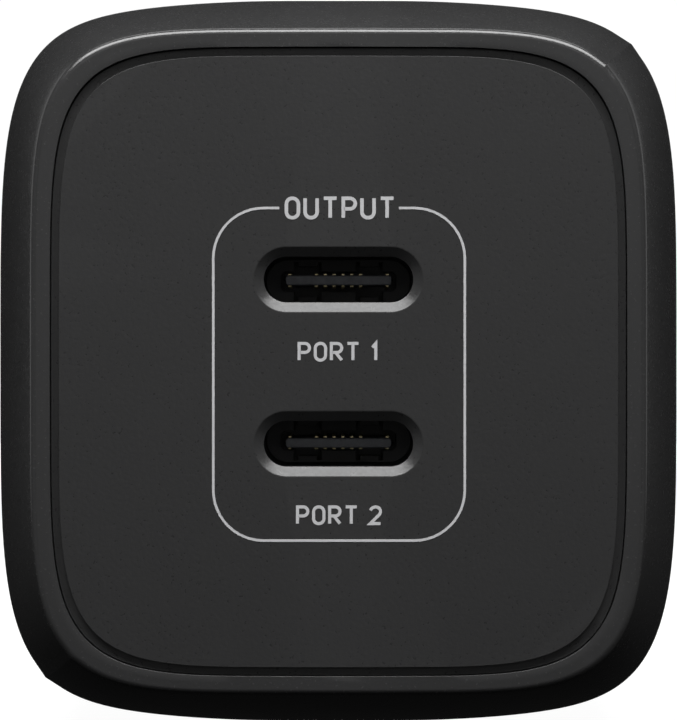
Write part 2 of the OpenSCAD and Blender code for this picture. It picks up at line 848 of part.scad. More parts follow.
outer_sleeve();
front_panel();
rear_cover();
blade_retainer();
retainer_screws();
board_screws();
blade_carrier();
blade(-blade_x);  // blade_left
blade(blade_x);  // blade_right
contact_spring(-blade_x);  // contact_spring_left
contact_spring(blade_x);  // contact_spring_right
port_shell(port_z[0]);  // port_1_shell
port_insulator(port_z[0]);  // port_1_insulator
port_mid_plate(port_z[0]);  // port_1_mid_plate
port_contacts(port_z[0]);  // port_1_contacts
port_shell(port_z[1]);  // port_2_shell
port_insulator(port_z[1]);  // port_2_insulator
port_mid_plate(port_z[1]);  // port_2_mid_plate
port_contacts(port_z[1]);  // port_2_contacts
output_board();
main_board();
board_link_pins();
heat_spreader();
insulating_wrap();
transformer_core_front();
transformer_core_rear();
transformer_bobbin();
transformer_winding();
bulk_capacitor(1);  // bulk_capacitor_1
bulk_capacitor(2);  // bulk_capacitor_2
bulk_capacitor(3);  // bulk_capacitor_3
bulk_capacitor_bungs();
choke_core();
choke_winding();
suppression_capacitor();
safety_capacitor();
fuse();
fuse_caps();
bridge_rectifier();
power_switch();
thermal_pad();
switch_heatsink();
optocoupler();
primary_controller();
output_rectifier();
output_inductor(3.6);  // output_inductor_1
output_inductor(11);  // output_inductor_2
output_capacitors();
protocol_chips();
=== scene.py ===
"""USB wall charger: its looks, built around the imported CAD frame.

Shapes are drawn in millimetres in the CAD's frame and turned into metres by finish_mesh.
X is the width, +Y points into the wall, +Z is up, and the blades are folded.
"""

import math

import bmesh
import bpy
import numpy as np
from mathutils import Matrix, Vector


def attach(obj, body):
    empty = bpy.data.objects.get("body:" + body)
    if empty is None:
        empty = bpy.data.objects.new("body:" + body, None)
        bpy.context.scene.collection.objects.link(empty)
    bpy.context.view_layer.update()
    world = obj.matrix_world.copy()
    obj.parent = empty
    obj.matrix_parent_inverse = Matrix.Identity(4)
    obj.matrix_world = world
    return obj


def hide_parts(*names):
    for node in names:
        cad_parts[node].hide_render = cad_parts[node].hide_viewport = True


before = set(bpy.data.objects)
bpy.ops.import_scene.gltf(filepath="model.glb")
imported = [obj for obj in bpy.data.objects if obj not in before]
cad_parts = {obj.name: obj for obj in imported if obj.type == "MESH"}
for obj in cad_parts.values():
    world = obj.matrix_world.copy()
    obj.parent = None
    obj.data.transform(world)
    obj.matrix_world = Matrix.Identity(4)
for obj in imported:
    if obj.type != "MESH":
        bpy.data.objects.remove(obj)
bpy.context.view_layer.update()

MM = 0.001
HOUSING = "housing"
BLADES = "blades"


# ---------------------------------------------------------------- sizes, as in part.scad

# The sleeve's outside. SQUARE is the power of an outline: 2 is an ellipse, and more is squarer.
BODY_W, BODY_H, BODY_D = 40.25, 42.8, 40.0
RIM_W, RIM_H = 34.2, 37.0
TAPER = 16.0
RIM_ROUND = 0.25
REAR_ROUND = 1.2
SIDE_SQUARE, TOP_SQUARE, BODY_CROWN = 9.0, 4.35, 2.6
RIM_SQUARE = 5.4
CAVITY_SQUARE = 4.9
FRONT, REAR = -BODY_D / 2, BODY_D / 2
MID_Z = BODY_H / 2

# The panel, its seat in the sleeve, and the cavity behind them.
SEAT_W, SEAT_H = 32.14, 35.04
SEAT_GAP = 0.1
GROOVE_W, GROOVE_D = 0.45, 0.35
PANEL_Y = FRONT + 0.1
PANEL_T = 1.9
PANEL_BACK = PANEL_Y + PANEL_T
PANEL_W, PANEL_H = SEAT_W - SEAT_GAP, SEAT_H - SEAT_GAP
SEAT_Y = PANEL_BACK + 0.1
LEDGE_BACK = SEAT_Y + 1
LEDGE_W, LEDGE_H = SEAT_W - 1.74, SEAT_H - 1.84
THROAT_W, THROAT_H = SEAT_W + 0.66, SEAT_H + 0.56
CAVITY_W, CAVITY_H = BODY_W - 4.8, BODY_H - 4.8
CAVITY_Y = FRONT + 9
COVER_T = 2.2
COVER_W, COVER_H = CAVITY_W + 0.8, CAVITY_H + 0.8

# The sockets. BEVEL_W is how far a slot's bevel reaches past its opening.
PORT_W, PORT_H = 8.34, 2.56
PORT_Z = {1: MID_Z + 4.575, 2: MID_Z - 4.575}
BEVEL_W, BEVEL_DEPTH = 0.53, 0.3
MOUTH_Y = FRONT + 1
FLOOR_Y = MOUTH_Y + 6.2
TIP_Y = FLOOR_Y - 5
SHELL_WALL = 0.3
COLLAR_W, COLLAR_DEPTH = 1.7, 1.6
OUTPUT_Y = CAVITY_Y + 0.1
OUTPUT_BACK = OUTPUT_Y + 1.2
TONGUE_W, TONGUE_T = 6.0, 0.6
WELL_W, WELL_H, WELL_DEPTH = 6.6, 1.12, 1.5
CONTACT_PLACES = (-2.75, -1.25, -0.75, -0.25, 0.25, 0.75, 1.25, 2.75)

# The folding blades. The hole's place is measured along a blade from the wall face.
BLADE_X = 6.35
BLADE_T, BLADE_W = 1.5, 6.35
BLADE_HOLE_R, BLADE_HOLE_AT = 1.6, 11.9
HINGE_IN = 3.7
HINGE_Y, HINGE_Z = REAR - HINGE_IN, MID_Z + 9.5
BLADE_LEN = 17.6 + HINGE_IN

# A faint ridge runs back from the rim at two opposite corners. RIDGE_AT_RIM and RIDGE_AT_BODY are how far
# round it reaches to each side. It grows as far back as RIDGE_WHOLE, and fades over the RIDGE_FADE before
# RIDGE_END. Where it reaches less than RIDGE_CREASED, it is shaded smooth.
RIDGE_ANGLE = math.radians(45.8)
RIDGE_AT_RIM = math.radians(8.5)
RIDGE_AT_BODY = math.radians(11.5)
RIDGE_WHOLE = 0.7 * TAPER
RIDGE_FADE = 0.9 * TAPER
RIDGE_END = 1.9 * TAPER
RIDGE_CREASED = math.radians(2.5)


# ---------------------------------------------------------------- outlines

# part.scad draws a quarter of an outline in this many steps, closing up towards the corner by this power.
CAD_STEPS, CLOSING_UP = 18, 1.5
FLAT_SHARE = 1 - (1 - 2 / CAD_STEPS) ** CLOSING_UP


def quarter_curve(w, h, side_n, top_n, crown, fine=1400):
    """Fine points of a section's quarter, from its side to its top, and the angle of the normal at each."""
    u = np.linspace(0, 1, fine + 1)
    step = 1 - (1 - 2 * np.minimum(u, 1 - u)) ** CLOSING_UP
    z_side = step * 0.5 ** (1 / top_n)
    x_top = step * 0.5 ** (1 / side_n)
    low = u < 0.5
    x = np.where(low, np.maximum(0, 1 - z_side ** top_n) ** (1 / side_n), x_top)
    z = np.where(low, z_side, np.maximum(0, 1 - x_top ** side_n) ** (1 / top_n))
    flat = FLAT_SHARE * 0.5 ** (1 / side_n)
    half_h = h / 2 - crown * np.maximum(0, x - flat) ** 2
    x, z = w / 2 * x, half_h * z
    angle = np.arctan2(-np.diff(x), np.diff(z))
    angle = np.concatenate([[0], (angle[1:] + angle[:-1]) / 2, [math.pi / 2]])
    return x, z, np.maximum.accumulate(angle)


def shared_angles(steps):
    """Normal angles for a quarter of the body, spaced by length and turning. RIDGE_ANGLE is among them."""
    turning_weight = 1.4
    x, z, angle = quarter_curve(BODY_W, BODY_H, SIDE_SQUARE, TOP_SQUARE, BODY_CROWN)
    length = np.concatenate([[0], np.cumsum(np.hypot(np.diff(x), np.diff(z)))])
    share = length / length[-1] + turning_weight * angle / (math.pi / 2)
    ridge = np.interp(RIDGE_ANGLE, angle, share)
    before = round(steps * ridge / share[-1])
    wanted = np.concatenate([
        np.linspace(0, ridge, before, endpoint=False),
        np.linspace(ridge, share[-1], steps - before, endpoint=False),
    ])
    found = np.interp(wanted, share, angle)
    found[before] = RIDGE_ANGLE
    return [float(a) for a in found]


QUARTER = shared_angles(60)
HALF = QUARTER + [math.pi / 2] + [math.pi - a for a in reversed(QUARTER[1:])]
ANGLES = HALF + [a + math.pi for a in HALF]


def outline(w, h, side_n, top_n=None, crown=0.0, ridge=0.0):
    """Points round the middle of the body, one for each of ANGLES.

    Within ridge of RIDGE_ANGLE, and opposite, the outline follows its end tangents to a corner.
    """
    xs, zs, angles = quarter_curve(w, h, side_n, top_n or side_n, crown)

    def point(angle):
        c, s = math.cos(angle), math.sin(angle)
        fold = math.atan2(abs(s), abs(c))
        x = 0.0 if fold > math.pi / 2 - 1e-6 else float(np.interp(fold, angles, xs))
        z = 0.0 if fold < 1e-6 else float(np.interp(fold, angles, zs))
        return Vector((math.copysign(x, c), math.copysign(z, s)))

    points = []
    for angle in ANGLES:
        place = point(angle)
        away = (angle % math.pi) - RIDGE_ANGLE
        if ridge > 0 and abs(away) < ridge:
            limits = [angle - away + side * ridge for side in (-1, 1)]
            ends = [point(limit) for limit in limits]
            ways = [Vector((-math.sin(limit), math.cos(limit))) for limit in limits]
            gap = ends[1] - ends[0]
            reach = gap.cross(ways[1]) / ways[0].cross(ways[1])
            tip = ends[0] + reach * ways[0]
            place = tip.lerp(ends[0] if away < 0 else ends[1], abs(away) / ridge)
        points.append((place.x, place.y + MID_Z))
    return points


def stadium(w, h, cx, cz, steps):
    """Outline with two straight sides and two half-round ends."""
    points = []
    for side in (1, -1):
        for i in range(steps + 1):
            t = math.pi * i / steps - math.pi / 2
            x, z = (w - h) / 2 + h / 2 * math.cos(t), h / 2 * math.sin(t)
            points.append((cx + side * x, cz + side * z))
    return points


def rounded_rectangle(w, h, r, cx, cz, steps):
    points = []
    for sx, sz, start in ((1, 1, 0), (-1, 1, 90), (-1, -1, 180), (1, -1, 270)):
        for i in range(steps + 1):
            t = math.radians(start + 90 * i / steps)
            points.append((cx + sx * (w / 2 - r) + r * math.cos(t),
                           cz + sz * (h / 2 - r) + r * math.sin(t)))
    return points


def circle(r, cx, cz, steps):
    turns = [2 * math.pi * i / steps for i in range(steps)]
    return [(cx + r * math.cos(t), cz + r * math.sin(t)) for t in turns]


def rounded_corners(corners, steps):
    """Outline through (x, z, radius) corners, each rounded."""
    points = []
    count = len(corners)
    for i, (x, z, r) in enumerate(corners):
        here = Vector((x, z))
        if r <= 0:
            points.append((x, z))
            continue
        before = (Vector(corners[i - 1][:2]) - here).normalized()
        after = (Vector(corners[(i + 1) % count][:2]) - here).normalized()
        half = before.angle(after) / 2
        centre = here + (before + after).normalized() * r / math.sin(half)
        a = here + before * r / math.tan(half) - centre
        b = here + after * r / math.tan(half) - centre
        turn = a.angle_signed(b)
        for k in range(steps + 1):
            way = Matrix.Rotation(-turn * k / steps, 2) @ a
            points.append((centre.x + way.x, centre.y + way.y))
    return points


def offset(points, distance):
    """The outline moved in by distance at every corner. Its points run anticlockwise."""
    count = len(points)
    moved = []
    for i, (x, z) in enumerate(points):
        normals = []
        for j, k in ((i - 1, i), (i, i + 1)):
            a, b = points[j % count], points[k % count]
            edge = Vector((b[0] - a[0], b[1] - a[1]))
            normals.append(Vector((-edge.y, edge.x)).normalized())
        total = normals[0] + normals[1]
        share = distance / (1 + max(-0.5, normals[0].dot(normals[1])))
        moved.append((x + total.x * share, z + total.y * share))
    return moved


# ---------------------------------------------------------------- meshes

AXES = {
    "x": lambda u, v, w: (w, u, v),
    "y": lambda u, v, w: (u, w, v),
    "z": lambda u, v, w: (u, v, w),
}


def add_object(name, data):
    obj = bpy.data.objects.new(name, data)
    bpy.context.scene.collection.objects.link(obj)
    return obj


def mesh_object(bm, name, material):
    mesh = bpy.data.meshes.new(name)
    bm.to_mesh(mesh)
    bm.free()
    obj = add_object(name, mesh)
    obj.data.materials.append(material)
    return obj


def finish_mesh(bm, name, material, body=HOUSING, replaces=(), crisp=35):
    """Turns bm, drawn in millimetres, into a piece that rides on body.

    Edges that turn by more than crisp degrees are shaded sharp.
    """
    bmesh.ops.scale(bm, vec=(MM, MM, MM), verts=bm.verts)
    bmesh.ops.recalc_face_normals(bm, faces=bm.faces)
    for face in bm.faces:
        face.smooth = True
    for edge in bm.edges:
        if edge.is_manifold and edge.calc_face_angle(0) > math.radians(crisp):
            edge.smooth = False
    piece = mesh_object(bm, name, material)
    shading = piece.modifiers.new("even_normals", "WEIGHTED_NORMAL")
    shading.keep_sharp = True
    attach(piece, body)
    if replaces:
        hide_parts(*replaces)


def add_loops(bm, loops, closed=False):
    """Faces from each outline of 3-D points to the next. All have the same number of points."""
    rows = [[bm.verts.new(p) for p in loop] for loop in loops]
    count = len(rows[0])
    pairs = list(zip(rows, rows[1:]))
    if closed:
        pairs.append((rows[-1], rows[0]))
    for a, b in pairs:
        for i in range(count):
            j = (i + 1) % count
            bm.faces.new((a[i], a[j], b[j], b[i]))
    return rows


def fill(bm, rows):
    """Flat face bounded by these loops of vertices, shaded apart from what surrounds it."""
    edges = [bm.edges.get((row[i], row[(i + 1) % len(row)])) for row in rows for i in range(len(row))]
    for edge in edges:
        edge.smooth = False
    bmesh.ops.triangle_fill(bm, use_beauty=True, use_dissolve=False, edges=edges)


def quarter_round(r, steps=4):
    """(how far in, how far back) along a rounded edge, from its face to its side."""
    turns = [math.pi / 2 * k / steps for k in range(steps + 1)]
    return [(r - r * math.sin(t), r - r * math.cos(t)) for t in turns]


def add_plate(bm, shape, low, high, r, holes=(), axis="y", steps=3):
    """Plate with rounded edges. Its outline and its holes run anticlockwise."""
    place = AXES[axis]
    edge = quarter_round(r, steps)
    fronts, backs = [], []
    for loop, side in [(shape, 1), *[(hole, -1) for hole in holes]]:
        levels = [(side * inset, low + back) for inset, back in edge]
        levels += [(side * inset, high - back) for inset, back in reversed(edge)]
        rows = add_loops(bm, [[place(u, v, w) for u, v in offset(loop, inset)] for inset, w in levels])
        fronts.append(rows[0])
        backs.append(rows[-1])
    fill(bm, fronts)
    fill(bm, backs)


# ---------------------------------------------------------------- materials

def new_material(name):
    material = bpy.data.materials.new(name)
    material.use_nodes = True
    return material, material.node_tree.nodes, material.node_tree.links


def node(nodes, kind, **inputs):
    made = nodes.new(kind)
    for key, value in inputs.items():
        made.inputs[key.replace("_", " ")].default_value = value
    return made


NOISE_RANGE = (0.3, 0.7)  # most of a noise's values lie between these
WEAR_RANGE = (0.53, 0.60)  # pointiness at which an edge starts to look rubbed, and is fully so
ROUGHNESS_SPREAD = 0.05
FINE_SCALE, BROAD_SCALE, BROAD_SHARE = 0.5, 0.04, 0.12


def rgba(colour, share=1.0):
    return [min(1, max(0, c * share)) for c in colour] + [1]


def blend_colours(nodes, links, factor, first, second):
    mix = nodes.new("ShaderNodeMixRGB")
    mix.inputs["Color1"].default_value = first
    mix.inputs["Color2"].default_value = second
    links.new(factor, mix.inputs["Fac"])
    return mix


def map_range(nodes, source_range, low, high):
    first, last = source_range
    return node(nodes, "ShaderNodeMapRange", From_Min=first, From_Max=last, To_Min=low, To_Max=high)


def vary(nodes, links, source, target, low, high):
    """Feeds a noise output, mapped to between low and high, to a shader socket."""
    spread = map_range(nodes, NOISE_RANGE, low, high)
    links.new(source, spread.inputs["Value"])
    links.new(spread.outputs["Result"], target)


def raise_bumps(nodes, links, source, shader, depth, strength=1.0):
    bump = node(nodes, "ShaderNodeBump", Strength=strength, Distance=depth * MM)
    links.new(source, bump.inputs["Height"])
    links.new(bump.outputs["Normal"], shader.inputs["Normal"])


def moulded_plastic(name, colour, roughness, grain, depth, mottle=0.1, specular=0.5):
    """Moulded plastic with a spark-eroded grain, lighter where its edges are rubbed.

    grain is the width of a bump and depth its height. mottle is how far the colour varies.
    """
    wear = 0.05
    material, nodes, links = new_material(name)
    shader = nodes["Principled BSDF"]
    shader.inputs["Specular IOR Level"].default_value = specular
    place = nodes.new("ShaderNodeTexCoord")
    fine = node(nodes, "ShaderNodeTexNoise", Scale=FINE_SCALE / (grain * MM), Detail=3.0, Roughness=0.55)
    broad = node(nodes, "ShaderNodeTexNoise", Scale=BROAD_SCALE / (grain * MM), Detail=3.0, Roughness=0.5)
    for pattern in (fine, broad):
        links.new(place.outputs["Object"], pattern.inputs["Vector"])
    both = nodes.new("ShaderNodeMixRGB")
    both.inputs["Fac"].default_value = BROAD_SHARE
    links.new(fine.outputs["Fac"], both.inputs["Color1"])
    links.new(broad.outputs["Fac"], both.inputs["Color2"])
    dark, light = rgba(colour, 1 - mottle), rgba(colour, 1 + mottle)
    shade = blend_colours(nodes, links, both.outputs["Color"], dark, light)
    edges = nodes.new("ShaderNodeNewGeometry")
    rubbed = map_range(nodes, WEAR_RANGE, 0.0, wear)
    links.new(edges.outputs["Pointiness"], rubbed.inputs["Value"])
    rubbed_colour = rgba([c * 2 + 0.02 for c in colour])
    worn = blend_colours(nodes, links, rubbed.outputs["Result"], rgba(colour), rubbed_colour)
    links.new(shade.outputs["Color"], worn.inputs["Color1"])
    links.new(worn.outputs["Color"], shader.inputs["Base Color"])
    vary(nodes, links, both.outputs["Color"], shader.inputs["Roughness"],
         roughness - ROUGHNESS_SPREAD, roughness + ROUGHNESS_SPREAD)
    raise_bumps(nodes, links, fine.outputs["Fac"], shader, depth)
    return material


def metal(name, colour, roughness, grain=0.15, stretch=(1, 1, 1), depth=0.002):
    """Metal with fine drawing or plating marks, grain wide. stretch makes them longer along an axis."""
    mottle = 0.06
    bump_strength = 0.6
    material, nodes, links = new_material(name)
    shader = nodes["Principled BSDF"]
    shader.inputs["Metallic"].default_value = 1.0
    place = nodes.new("ShaderNodeTexCoord")
    scaled = nodes.new("ShaderNodeMapping")
    scaled.inputs["Scale"].default_value = [1 / s for s in stretch]
    links.new(place.outputs["Object"], scaled.inputs["Vector"])
    marks = node(nodes, "ShaderNodeTexNoise", Scale=FINE_SCALE / (grain * MM), Detail=4.0, Roughness=0.6)
    links.new(scaled.outputs["Vector"], marks.inputs["Vector"])
    dark, light = rgba(colour, 1 - mottle), rgba(colour, 1 + mottle)
    shade = blend_colours(nodes, links, marks.outputs["Fac"], dark, light)
    links.new(shade.outputs["Color"], shader.inputs["Base Color"])
    vary(nodes, links, marks.outputs["Fac"], shader.inputs["Roughness"], roughness * 0.75, roughness * 1.25)
    raise_bumps(nodes, links, marks.outputs["Fac"], shader, depth, bump_strength)
    return material


casing_plastic = moulded_plastic("casing_plastic", (0.0255, 0.0255, 0.0258), 0.24, 0.10, 0.004, specular=0.65)
panel_plastic = moulded_plastic("panel_plastic", (0.0235, 0.0235, 0.0238), 0.31, 0.12, 0.008, 0.2)
rear_plastic = moulded_plastic("rear_plastic", (0.027, 0.027, 0.0275), 0.50, 0.12, 0.010)
barrel_plastic = moulded_plastic("barrel_plastic", (0.030, 0.030, 0.031), 0.45, 0.10, 0.006)
socket_plastic = moulded_plastic("socket_plastic", (0.20, 0.20, 0.203), 0.5, 0.08, 0.004)
tongue_plastic = moulded_plastic("tongue_plastic", (0.10, 0.104, 0.112), 0.5, 0.16, 0.020, 0.6)
socket_steel = metal("socket_steel", (0.09, 0.09, 0.095), 0.38)
contact_gold = metal("contact_gold", (0.96, 0.82, 0.48), 0.42, 0.05)
blade_nickel = metal("blade_nickel", (0.78, 0.77, 0.74), 0.36, 0.12, (1, 1, 14), 0.0008)
silver_ink = moulded_plastic("silver_ink", (0.45, 0.45, 0.46), 0.45, 0.05, 0.002, 0.06)


# ---------------------------------------------------------------- casing

def section(t, inset=0.0):
    """Outline settings of the sleeve's outside at depth t, drawn in by inset."""
    share = ((TAPER - t) / TAPER) ** 2 if t < TAPER else 0.0
    grown = RIDGE_AT_RIM + (RIDGE_AT_BODY - RIDGE_AT_RIM) * min(1, t / RIDGE_WHOLE)
    fade = max(0.0, min(1.0, (RIDGE_END - t) / RIDGE_FADE))
    return (
        BODY_W - (BODY_W - RIM_W) * share - 2 * inset,
        BODY_H - (BODY_H - RIM_H) * share - 2 * inset,
        SIDE_SQUARE + (RIM_SQUARE - SIDE_SQUARE) * share,
        TOP_SQUARE + (RIM_SQUARE - TOP_SQUARE) * share,
        BODY_CROWN * (1 - share),
        grown * fade,
    )


def plain(w, h, n):
    """Outline settings with nothing but a width, a height and a power."""
    return w, h, n, n, 0.0, 0.0


def sleeve_rings():
    """(y, outline settings) of every ring, from the panel's seat over the outside and back inside."""
    lip = 0.012
    taper_steps, straight_steps, rear_steps = 26, 10, 12
    rings = [(FRONT + back, plain(SEAT_W + 2 * inset, SEAT_H + 2 * inset, RIM_SQUARE))
             for inset, back in reversed(quarter_round(lip))]
    flat_w, flat_h, *_, turn = section(0, RIM_ROUND)
    ridge_share = 0.3
    for share in (0.5, 0.96):
        w = SEAT_W + 2 * lip + (flat_w - SEAT_W - 2 * lip) * share
        h = SEAT_H + 2 * lip + (flat_h - SEAT_H - 2 * lip) * share
        rings.append((FRONT, (w, h, RIM_SQUARE, RIM_SQUARE, 0.0, ridge_share * turn * share)))
    rings += [(FRONT + t, section(t, inset)) for inset, t in quarter_round(RIM_ROUND, 10)]
    depths = [RIM_ROUND + (TAPER - RIM_ROUND) * k / taper_steps for k in range(1, taper_steps + 1)]
    straight = BODY_D - REAR_ROUND
    depths += [TAPER + (straight - TAPER) * k / straight_steps for k in range(1, straight_steps)]
    rings += [(FRONT + t, section(t)) for t in depths]
    rings += [(REAR - back, section(BODY_D - back, inset))
              for inset, back in reversed(quarter_round(REAR_ROUND, rear_steps))]
    rings += [(REAR - back, plain(COVER_W + 2 * inset, COVER_H + 2 * inset, CAVITY_SQUARE))
              for inset, back in quarter_round(lip)]
    cavity = plain(CAVITY_W, CAVITY_H, CAVITY_SQUARE)
    throat = plain(THROAT_W, THROAT_H, RIM_SQUARE)
    ledge = plain(LEDGE_W, LEDGE_H, RIM_SQUARE)
    rings += [
        (REAR - COVER_T, plain(COVER_W, COVER_H, CAVITY_SQUARE)),
        (REAR - COVER_T, cavity),
        (CAVITY_Y, cavity),
        (CAVITY_Y, throat),
        (LEDGE_BACK, throat),
        (LEDGE_BACK, ledge),
        (SEAT_Y, ledge),
        (SEAT_Y, plain(SEAT_W, SEAT_H, RIM_SQUARE)),
    ]
    return rings


def build_sleeve():
    """The moulded shell, inside and out, with a crease along each ridge."""
    bm = bmesh.new()
    rings = sleeve_rings()
    loops = [[(x, y, z) for x, z in outline(*settings)] for y, settings in rings]
    rows = add_loops(bm, loops, closed=True)
    columns = [i for i, a in enumerate(ANGLES) if abs(a % math.pi - RIDGE_ANGLE) < 1e-6]
    for (row, (_, settings)), below in zip(zip(rows, rings), rows[1:]):
        if settings[-1] > RIDGE_CREASED:
            for i in columns:
                bm.edges.get((row[i], below[i])).smooth = False
    finish_mesh(bm, "sleeve_shell", casing_plastic, replaces=["outer_sleeve"], crisp=40)


# ---------------------------------------------------------------- port panel

def port_loops(z, levels, steps):
    """Loops round a socket at height z, one for each (y, how far it lies outside the opening)."""
    return [[(x, y, v) for x, v in stadium(PORT_W + 2 * out, PORT_H + 2 * out, 0, z, steps)]
            for y, out in levels]


def build_panel():
    """The plate with a stepped rim for the groove, bevelled slots, and collars behind them."""
    bm = bmesh.new()
    face_w, face_h = PANEL_W - 2 * GROOVE_W, PANEL_H - 2 * GROOVE_W
    soft = 0.015
    levels = [(PANEL_Y + back, face_w - 2 * inset, face_h - 2 * inset) for inset, back in quarter_round(soft)]
    levels += [(PANEL_Y + GROOVE_D, face_w, face_h), (PANEL_Y + GROOVE_D, PANEL_W, PANEL_H),
               (PANEL_BACK, PANEL_W, PANEL_H)]
    outer = add_loops(bm, [[(x, y, z) for x, z in outline(w, h, RIM_SQUARE)] for y, w, h in levels])
    fronts, backs = [outer[0]], [outer[-1]]
    clear = 0.05
    pocket, pocket_y = SHELL_WALL + clear, MOUTH_Y - clear
    collar_y = PANEL_BACK + COLLAR_DEPTH
    lip = 0.05
    end_steps = 28
    for z in PORT_Z.values():
        levels = [(PANEL_Y, BEVEL_W + lip), (PANEL_Y + lip * 0.2, BEVEL_W - lip * 0.1),
                  (PANEL_Y + BEVEL_DEPTH, 0), (pocket_y, 0), (pocket_y, pocket),
                  (collar_y, pocket), (collar_y, COLLAR_W), (PANEL_BACK, COLLAR_W)]
        rows = add_loops(bm, port_loops(z, levels, end_steps))
        fronts.append(rows[0])
        backs.append(rows[-1])
    fill(bm, fronts)
    fill(bm, backs)
    finish_mesh(bm, "panel_plate", panel_plastic, replaces=["front_panel"], crisp=15)


# ---------------------------------------------------------------- printed marks

INK_T = 0.02


def add_ribbon(bm, points, width, closed=False, lift=0.0):
    """Flat printed line along points, with mitred corners. lift keeps crossing strokes apart."""
    count = len(points)
    sides = ([], [])
    for i, p in enumerate(points):
        p = Vector(p)
        ways = []
        if closed or i > 0:
            ways.append((p - Vector(points[i - 1])).normalized())
        if closed or i < count - 1:
            ways.append((Vector(points[(i + 1) % count]) - p).normalized())
        total = sum((Vector((-way.y, way.x)) for way in ways), Vector((0, 0)))
        reach = total * (width / 2 * len(ways) / total.length_squared)
        sides[0].append(p + reach)
        sides[1].append(p - reach)
    front, back = PANEL_Y - INK_T - lift, PANEL_Y + INK_T / 2
    corners = [[bm.verts.new((q.x, y, q.y)) for q in side] for side, y in
               ((sides[0], front), (sides[1], front), (sides[1], back), (sides[0], back))]
    for i in range(count if closed else count - 1):
        j = (i + 1) % count
        for a, b in ((0, 1), (1, 2), (2, 3), (3, 0)):
            bm.faces.new((corners[a][i], corners[a][j], corners[b][j], corners[b][i]))
    if not closed:
        for i in (0, -1):
            bm.faces.new([corners[a][i] for a in range(4)])


def arc(cx, cz, rx, rz, start, end, steps=8):
    turns = [math.radians(start + (end - start) * k / steps) for k in range(steps + 1)]
    return [(cx + rx * math.cos(t), cz + rz * math.sin(t)) for t in turns]


def glyph(letter, w, h):
    """Strokes of a plain letter or number, w wide and h high, from its lower left corner.

    Each is (whether it closes, its middle line). r is the radius of O and U, and b of the bowl of P and R.
    """
    r = 0.3 * h
    b = 0.27 * h
    waist = h - 2 * b
    bowl = [(0, h), (w - b, h), *arc(w - b, h - b, b, b, 80, -80), (w - b, waist), (0.06 * h, waist)]
    return {
        "O": [(True, arc(r, h - r, r, r, 180, 90) + arc(w - r, h - r, r, r, 90, 0)
               + arc(w - r, r, r, r, 0, -90) + arc(r, r, r, r, 270, 180))],
        "U": [(False, [(0, h), *arc(r, r, r, r, 180, 270), *arc(w - r, r, r, r, 270, 360), (w, h)])],
        "T": [(False, [(0, h), (w, h)]), (False, [(w / 2, 0.95 * h), (w / 2, 0)])],
        "P": [(False, [(0, 0), *bowl])],
        "R": [(False, [(0, 0), *bowl]), (False, [(0.45 * w, waist - 0.03 * h), (w, 0)])],
        "1": [(False, [(0.05 * w, 0.76 * h), (0.55 * w, h), (0.55 * w, 0)])],
        "2": [(False, [*arc(w / 2, 0.72 * h, w / 2, 0.28 * h, 165, -35), (0, 0), (w, 0)])],
    }[letter]


def add_word(bm, word, middle_x, base_z, height, stroke):
    """Capitals and numbers centred on middle_x, standing on base_z. Their widths follow their height."""
    h = height - stroke
    narrow = {"1": 0.42 * h, " ": 0.12 * h, "T": 0.66 * h}
    usual = 0.62 * h
    gap = 0.27 * h + stroke * 0.4
    spans = [narrow.get(letter, usual) for letter in word]
    x = middle_x - (sum(spans) + gap * (len(word) - 1)) / 2
    for letter, w in zip(word, spans):
        if letter != " ":
            for k, (closed, points) in enumerate(glyph(letter, w, h)):
                moved = [(x + px, base_z + stroke / 2 + pz) for px, pz in points]
                if closed:
                    moved = [p for i, p in enumerate(moved) if math.dist(p, moved[i - 1]) > 1e-4]
                add_ribbon(bm, moved, stroke, closed, lift=0.002 * k)
        x += w + gap


def build_ink():
    """Thin printed frame round the sockets, open at the top for a word, with a word under each socket."""
    bm = bmesh.new()
    line, half_gap = 0.14, 3.33
    middle, top, bottom = 0.03, MID_Z + 8.55, MID_Z - 9.96
    half_w, r, steps = 7.0, 2.8, 12
    left, right = middle - half_w + r, middle + half_w - r
    path = [(middle - half_gap, top), *arc(left, top - r, r, r, 90, 180, steps),
            *arc(left, bottom + r, r, r, 180, 270, steps),
            *arc(right, bottom + r, r, r, 270, 360, steps),
            *arc(right, top - r, r, r, 0, 90, steps), (middle + half_gap, top)]
    add_ribbon(bm, path, line)
    finish_mesh(bm, "printed_frame", silver_ink)
    bm = bmesh.new()
    title_h = 1.28
    add_word(bm, "OUTPUT", middle + 0.05, top - title_h / 2, title_h, 0.2)
    for word, base_z in (("PORT 1", MID_Z), ("PORT 2", MID_Z - 9.1)):
        add_word(bm, word, middle, base_z, 1.1, 0.17)
    finish_mesh(bm, "printed_words", silver_ink)


# ---------------------------------------------------------------- sockets

SOCKET_STEPS = 24


def build_shell(z, prefix):
    """Drawn steel shell with a rolled front edge and four soldered legs."""
    bm = bmesh.new()
    edge = quarter_round(0.09)
    levels = [(MOUTH_Y + back, inset) for inset, back in reversed(edge)]
    levels += [(MOUTH_Y + back, SHELL_WALL - inset) for inset, back in edge]
    levels += [(OUTPUT_Y, SHELL_WALL), (OUTPUT_Y, 0)]
    add_loops(bm, port_loops(z, levels, SOCKET_STEPS), closed=True)
    leg_x, leg_w, half_t = 2.6, 1, 0.14
    leg_low, leg_high = OUTPUT_Y - 1, OUTPUT_BACK + 0.5
    for sx in (-1, 1):
        for sz in (-1, 1):
            leg = rounded_rectangle(leg_w, leg_high - leg_low, 0.2, sx * leg_x, (leg_low + leg_high) / 2, 3)
            middle = z + sz * (PORT_H / 2 + SHELL_WALL / 2)
            add_plate(bm, leg, middle - half_t, middle + half_t, 0.03, axis="z", steps=1)
    finish_mesh(bm, prefix + "drawn_shell", socket_steel, replaces=[prefix + "shell"])


